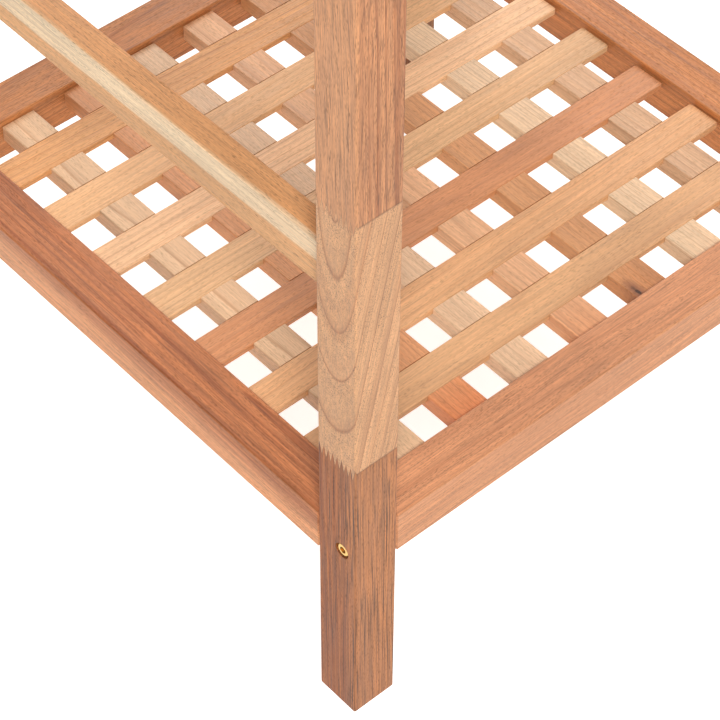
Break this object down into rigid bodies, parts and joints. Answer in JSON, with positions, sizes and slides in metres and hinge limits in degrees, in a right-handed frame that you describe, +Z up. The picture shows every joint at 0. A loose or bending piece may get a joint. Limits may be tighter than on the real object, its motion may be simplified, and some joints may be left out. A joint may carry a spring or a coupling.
{
  "type": "folding luggage rack",
  "caption": "Square hardwood luggage rack with a crossed-slat lower shelf, side stretchers and a slatted deck that lifts on brass hinges at the back.",
  "frame": {"origin": "on the floor, at the middle of the rack's footprint", "axes": "+Z up, +Y towards the hinged back, X along the cross rails and deck slats"},
  "size_m": [0.504, 0.505, 0.6923],
  "materials": {
    "leg_wood": "solid teak-coloured hardwood, finger-jointed blocks, sanded and oiled",
    "rail_wood": "solid hardwood, reddish brown, sanded and oiled",
    "stretcher_wood": "solid hardwood with a pale sapwood edge, oiled",
    "bearer_wood": "solid hardwood, pale tan, planed and oiled",
    "slat_wood": "solid hardwood, golden tan, planed and oiled",
    "deck_wood": "solid hardwood, warm brown, sanded and oiled",
    "batten_wood": "solid hardwood, tan, planed",
    "bolt_brass": "brass-plated steel, satin",
    "hinge_brass": "solid brass, brushed",
    "nut_zinc": "zinc-plated steel"
  },
  "bodies": {
    "frame": {"leg_front_left": "leg_wood", "leg_front_right": "leg_wood", "leg_back_left": "leg_wood", "leg_back_right": "leg_wood", "side_rail_lower_left": "rail_wood", "side_rail_top_left": "rail_wood", "stretcher_left": "stretcher_wood", "side_rail_lower_right": "rail_wood", "side_rail_top_right": "rail_wood", "stretcher_right": "stretcher_wood", "cross_rail_lower_front": "rail_wood", "cross_rail_top_front": "rail_wood", "cross_rail_lower_back": "rail_wood", "cross_rail_top_back": "rail_wood", "bolt_lower_front_left": "bolt_brass", "barrel_nut_lower_front_left": "nut_zinc", "bolt_lower_front_right": "bolt_brass", "barrel_nut_lower_front_right": "nut_zinc", "bolt_lower_back_left": "bolt_brass", "barrel_nut_lower_back_left": "nut_zinc", "bolt_lower_back_right": "bolt_brass", "barrel_nut_lower_back_right": "nut_zinc", "bolt_top_front_left": "bolt_brass", "barrel_nut_top_front_left": "nut_zinc", "bolt_top_front_right": "bolt_brass", "barrel_nut_top_front_right": "nut_zinc", "bolt_top_back_left": "bolt_brass", "barrel_nut_top_back_left": "nut_zinc", "bolt_top_back_right": "bolt_brass", "barrel_nut_top_back_right": "nut_zinc", "shelf_bearer_1": "bearer_wood", "shelf_slat_1": "slat_wood", "shelf_bearer_2": "bearer_wood", "shelf_slat_2": "slat_wood", "shelf_bearer_3": "bearer_wood", "shelf_slat_3": "slat_wood", "shelf_bearer_4": "bearer_wood", "shelf_slat_4": "slat_wood", "shelf_bearer_5": "bearer_wood", "shelf_slat_5": "slat_wood", "shelf_bearer_6": "bearer_wood", "shelf_slat_6": "slat_wood", "shelf_bearer_7": "bearer_wood", "shelf_slat_7": "slat_wood", "hinge_rail_leaf_left": "hinge_brass", "hinge_pin_left": "hinge_brass", "hinge_rail_leaf_right": "hinge_brass", "hinge_pin_right": "hinge_brass"},
    "deck": {"deck_slat_1": "deck_wood", "deck_slat_2": "deck_wood", "deck_slat_3": "deck_wood", "deck_slat_4": "deck_wood", "deck_slat_5": "deck_wood", "deck_slat_6": "deck_wood", "deck_slat_7": "deck_wood", "deck_batten_left": "batten_wood", "deck_batten_right": "batten_wood", "hinge_deck_leaf_left": "hinge_brass", "hinge_deck_leaf_right": "hinge_brass"}
  },
  "joints": [
    {"name": "deck_lift", "type": "hinge", "parent": "frame", "child": "deck", "pos_m": [0, 0.2485, 0.67815], "axis": [-1, 0, 0], "range_deg": [0, 95]}
  ]
}
